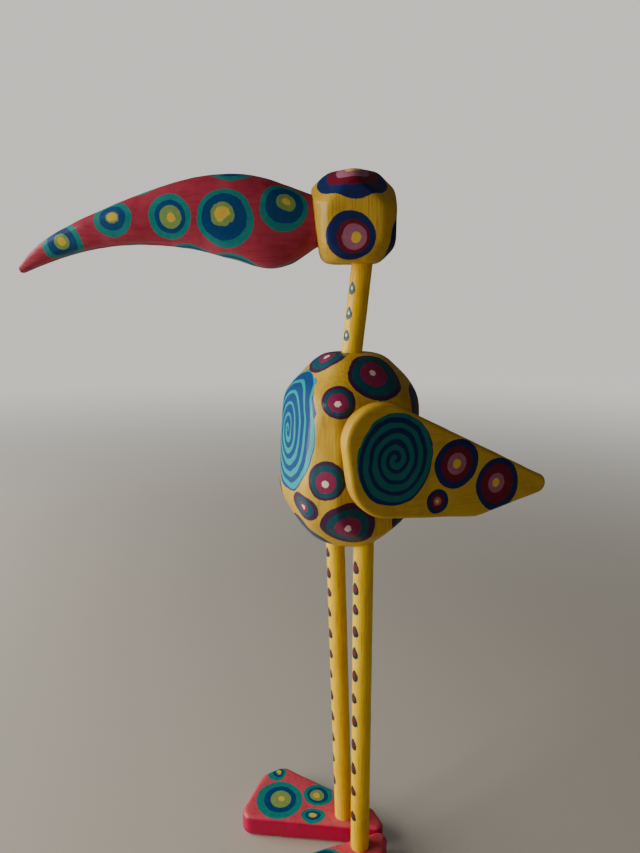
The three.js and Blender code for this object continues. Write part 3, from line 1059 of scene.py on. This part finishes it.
def fromTree(name, tree, values):
    host = bpy.data.objects.new(name + "Host", bpy.data.meshes.new(name + "Empty"))
    bpy.context.scene.collection.objects.link(host)
    modifier = host.modifiers.new(name, "NODES")
    modifier.node_group = tree
    identifiers = {item.name: item.identifier for item in tree.interface.items_tree
                   if item.in_out == "INPUT"}
    for label, value in values.items():
        modifier[identifiers[label]] = value
    depsgraph = bpy.context.evaluated_depsgraph_get()
    mesh = bpy.data.meshes.new_from_object(host.evaluated_get(depsgraph))
    mesh.name = name + "Mesh"
    bpy.data.objects.remove(host)
    return mesh


def dropPaint(name, shades, heartShare):
    # Yellow brushed paint with a row of drops: the rim's shade, then the heart's
    # The dowels take the lighter copy of the yellow, painted light
    material = paintedWood(name, {**yellowFinish, "base": "litYellow"})
    tree = material.node_tree
    plus, less, times, _ = sumsOf(tree)
    surface = next(n for n in tree.nodes if n.type == "BSDF_PRINCIPLED")
    plain = surface.inputs["Base Color"].links[0].from_socket
    coords = next(n for n in tree.nodes if n.type == "TEX_COORD").outputs["Object"]
    drop = addNode(tree, "ShaderNodeAttribute", attribute_name="drop").outputs["Fac"]
    fray = noiseAt(tree, coords, drops["frayScale"]).outputs["Fac"]
    drop = plus(drop, times(less(fray, 0.5), drops["fray"]))
    heart = between(tree, drop, heartShare, heartShare + drops["heartBlur"], 1.0, 0.0)
    rim = between(tree, drop, 1 - drops["rimBlur"], 1 + drops["rimBlur"], 1.0, 0.0)
    drawn = blend(tree, heart, colours[shades[0]], colours[shades[1]])
    mixed = blend(tree, rim, plain, drawn)
    tree.links.new(mixed, surface.inputs["Base Color"])
    return material


legPaint = dropPaint("paintedLeg", ("dropTeal", "dropRed"), 0.5)
# The neck drops' white heart is a painted highlight
neckPaint = dropPaint("paintedNeck", ("neckTeal", "white"), 0.28)
turnedDowel = dowelTree()
dowels = (
    {"name": "neckDowel", "node": "neck", "start": (0, -0.56, 331.2), "end": (0, 6.98, 395.4),
     "front": 21, "first": 16.7, "pitch": 12.6, "crowding": -0.3, "drift": 0, "count": 3,
     "dropLength": 3.6, "dropWidth": 2.9, "seed": 3, "paint": neckPaint},
    {"name": "leftLeg", "node": "leg_left", "start": (14.95, 3.05, 6), "end": (21.0, -0.1, 233.5),
     "front": 12, "first": 36, "pitch": 18.5, "crowding": 0.25, "drift": 0, "count": 12,
     "dropLength": 3.9, "dropWidth": 3.5, "seed": 5, "paint": legPaint},
    {"name": "rightLeg", "node": "leg_right", "start": (-12.15, 3.1, 6), "end": (-21.1, -1.5, 233.5),
     "front": -10, "first": 38.4, "pitch": 16.6, "crowding": 0.15, "drift": 0.0105, "count": 12,
     "dropLength": 3.5, "dropWidth": 3.3, "seed": 8, "paint": legPaint},
)
for dowel in dowels:
    mesh = fromTree(dowel["name"], turnedDowel, {
        "Start": tuple(birdFrame @ Vector(dowel["start"])),
        "End": tuple(birdFrame @ Vector(dowel["end"])),
        "Front": tuple(directionOf(dowel["front"], 0)),
        "Radius": dowelStock["radius"] * mm,
        "Uneven": dowelStock["uneven"] * mm,
        "First drop": dowel["first"] * mm,
        "Drop pitch": dowel["pitch"] * mm,
        "Drop crowding": dowel["crowding"] * mm,
        "Drop drift": dowel["drift"],
        "Drop count": dowel["count"],
        "Drop length": dowel["dropLength"] * mm,
        "Drop width": dowel["dropWidth"] * mm,
        "Seed": dowel["seed"],
        "Paint": dowel["paint"],
    })
    pieceFrom(dowel["name"], mesh, dowel["paint"], dowel["node"])
print("dowels done")


# Floor, light and camera

# Lengths here are in metres
studio = {
    "floorReach": 14.0,
    "floorStep": 5,
    "floorRoughness": 0.7,
    "floorShade": shade(186, 182, 174),
    "skyShade": shade(214, 212, 206),
    "sky": 1.15,
    "fill": 0.1,
    "nearGlow": 0.05,
    "farGlow": 1.1,
    "glowFrom": 0.3,
    "glowTo": 2.6,
    "aimHeight": 0.28,
}
circle = [math.radians(turn) for turn in range(0, 360, studio["floorStep"])]
floorMesh = meshOf("floorMesh", [(studio["floorReach"] * math.cos(turn),
                                  studio["floorReach"] * math.sin(turn), 0) for turn in circle],
                   [tuple(range(len(circle)))])
floor = bpy.data.objects.new("floor", floorMesh)
bpy.context.scene.collection.objects.link(floor)
floorPaint = bpy.data.materials.new("paleFloor")
floorPaint.use_nodes = True
floorTree = floorPaint.node_tree
floorSurface = floorTree.nodes["Principled BSDF"]
floorSurface.inputs["Base Color"].default_value = studio["floorShade"]
floorSurface.inputs["Roughness"].default_value = studio["floorRoughness"]
floorSurface.inputs["Emission Color"].default_value = studio["skyShade"]
# The floor glows where the camera sees it, as painted light: faintly near the bird and brighter far
# away, so that it meets the backdrop without a dark band
floorCoords = addNode(floorTree, "ShaderNodeTexCoord").outputs["Object"]
outward = vectorCalc(floorTree, "LENGTH", floorCoords)
glow = between(floorTree, outward, studio["glowFrom"], studio["glowTo"], studio["nearGlow"],
               studio["farGlow"])
straight = addNode(floorTree, "ShaderNodeLightPath").outputs["Is Camera Ray"]
plug(floorTree, floorSurface.inputs["Emission Strength"], calc(floorTree, "MULTIPLY", glow, straight))
floorMesh.materials.append(floorPaint)

world = bpy.data.worlds.new("studio")
world.use_nodes = True
skyTree = world.node_tree
skyTree.nodes["Background"].inputs["Color"].default_value = studio["skyShade"]
seen = addNode(skyTree, "ShaderNodeLightPath").outputs["Is Camera Ray"]
strength = calc(skyTree, "ADD", studio["fill"],
                calc(skyTree, "MULTIPLY", seen, studio["sky"] - studio["fill"]))
skyTree.links.new(strength, skyTree.nodes["Background"].inputs["Strength"])
bpy.context.scene.world = world

# Where the camera stands, in mm from the bird's axis, and how it is turned, in
# degrees; the focal length and the picture's height are in pixels
view = {
    "across": 342.4,
    "front": 147.4,
    "height": 371,
    "heading": 69.5,
    "down": 11.6,
    "focal": 641,
    "tall": 853,
    "nearest": 20,
}
heading, down = math.radians(view["heading"]), math.radians(view["down"])
look = Vector((-math.sin(heading) * math.cos(down), math.cos(heading) * math.cos(down),
               -math.sin(down)))
cameraData = bpy.data.cameras.new("camera")
cameraData.lens = view["focal"] / view["tall"] * cameraData.sensor_width
camera = bpy.data.objects.new("camera", cameraData)
camera.location = birdFrame @ Vector((view["across"], -view["front"], view["height"]))
camera.rotation_euler = look.to_track_quat("-Z", "Y").to_euler()
cameraData.clip_start = view["nearest"] * mm
bpy.context.scene.collection.objects.link(camera)
bpy.context.scene.camera = camera

toLeft = Vector((-math.cos(heading), -math.sin(heading), 0))
toViewer = Vector((math.sin(heading), -math.cos(heading), 0))
target = Vector((axisX, axisY, studio["aimHeight"]))
# How far each lamp stands from the target, to the left, to the viewer and upwards
lamps = (
    {"name": "key", "leftward": 1.2, "forward": 0.06, "rise": 0.18, "size": (1.4, 1.4),
     "power": 35, "shade": shade(255, 248, 236)},
    {"name": "fill", "leftward": -0.3, "forward": 1.5, "rise": 0.5, "size": (1.6, 1.6),
     "power": 1.6, "shade": shade(255, 240, 216)},
)
for lamp in lamps:
    data = bpy.data.lights.new(lamp["name"], "AREA")
    data.shape = "RECTANGLE"
    data.size, data.size_y = lamp["size"]
    data.energy = lamp["power"]
    data.color = lamp["shade"][:3]
    light = bpy.data.objects.new(lamp["name"], data)
    light.location = (target + toLeft * lamp["leftward"] + toViewer * lamp["forward"]
                      + Vector((0, 0, lamp["rise"])))
    light.rotation_euler = (target - light.location).to_track_quat("-Z", "Y").to_euler()
    light.visible_camera = False
    bpy.context.scene.collection.objects.link(light)
print("studio done")
